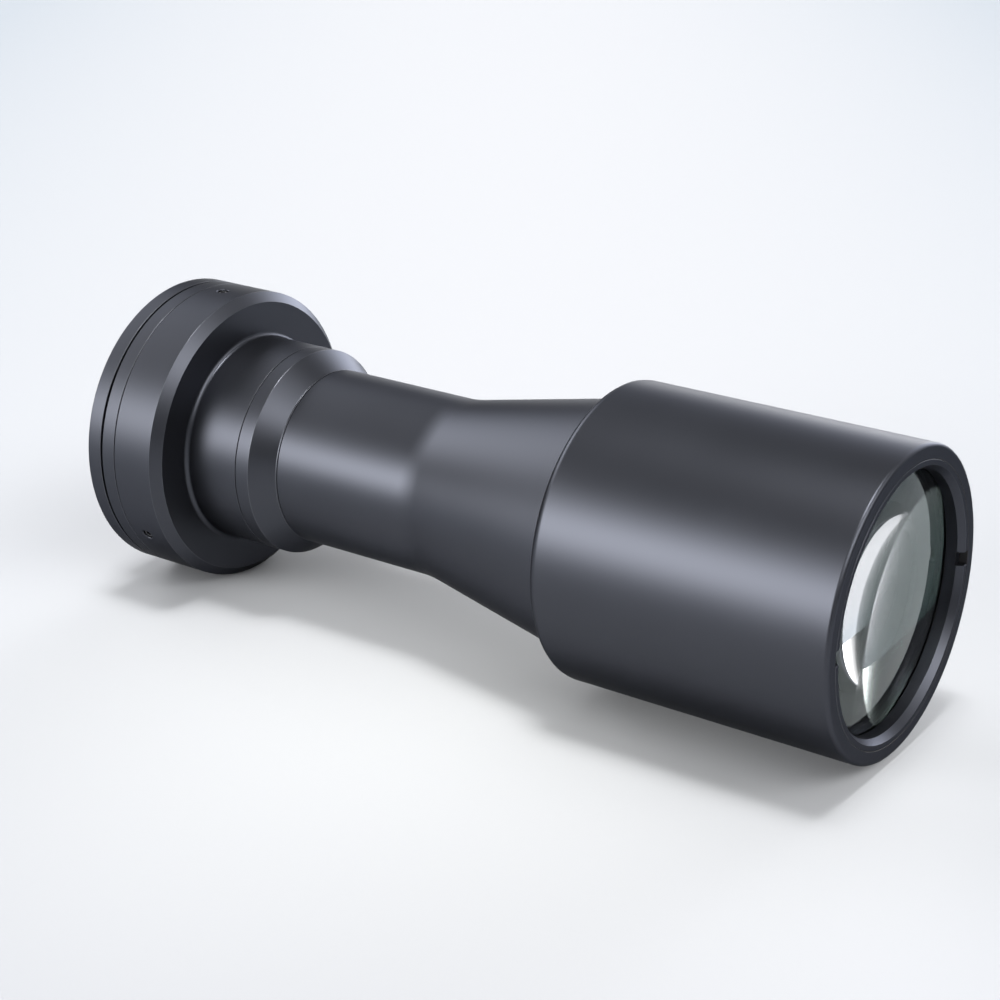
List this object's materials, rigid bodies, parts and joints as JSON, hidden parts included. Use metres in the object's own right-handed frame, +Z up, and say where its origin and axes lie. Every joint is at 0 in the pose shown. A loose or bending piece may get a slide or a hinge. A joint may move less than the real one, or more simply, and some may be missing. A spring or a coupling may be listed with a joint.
{
  "type": "telecentric lens",
  "caption": "Dark anodised telecentric lens with a wide front barrel, a long cone, a slim tube and a clamped rotating flange for a large line-scan camera.",
  "frame": {"origin": "centre of the shoulder that seats on the camera, on the optical axis, where the threaded collar starts", "axes": "+X along the optical axis from the camera towards the object that is imaged; +Z up through the first set screw; +Y to the left when looking along +X"},
  "size_m": [0.2958, 0.1044, 0.1044],
  "materials": {
    "anodised_aluminium": "fine satin anodised",
    "blackened_aluminium": "matt black anodised",
    "blackened_steel": "black oxide",
    "coated_glass": "polished and coated"
  },
  "bodies": {
    "root": {"mount_flange": "anodised_aluminium", "rotation_hub": "anodised_aluminium", "rear_barrel": "anodised_aluminium", "shoulder_ring": "anodised_aluminium", "cone_tube": "anodised_aluminium", "front_barrel": "anodised_aluminium", "front_retaining_ring": "anodised_aluminium", "front_spacer_ring": "blackened_aluminium", "aperture_stop": "blackened_aluminium", "stop_retaining_ring": "blackened_aluminium", "middle_retaining_ring": "blackened_aluminium", "rear_retaining_ring": "blackened_aluminium", "front_crown_element": "coated_glass", "front_flint_element": "coated_glass", "front_meniscus_element": "coated_glass", "middle_element": "coated_glass", "rear_crown_element": "coated_glass", "rear_flint_element": "coated_glass", "flange_screw_1": "blackened_steel", "flange_screw_2": "blackened_steel", "flange_screw_3": "blackened_steel", "flange_screw_4": "blackened_steel", "flange_screw_5": "blackened_steel", "flange_screw_6": "blackened_steel", "set_screw_1": "blackened_steel", "set_screw_2": "blackened_steel", "set_screw_3": "blackened_steel"}
  },
  "joints": []
}
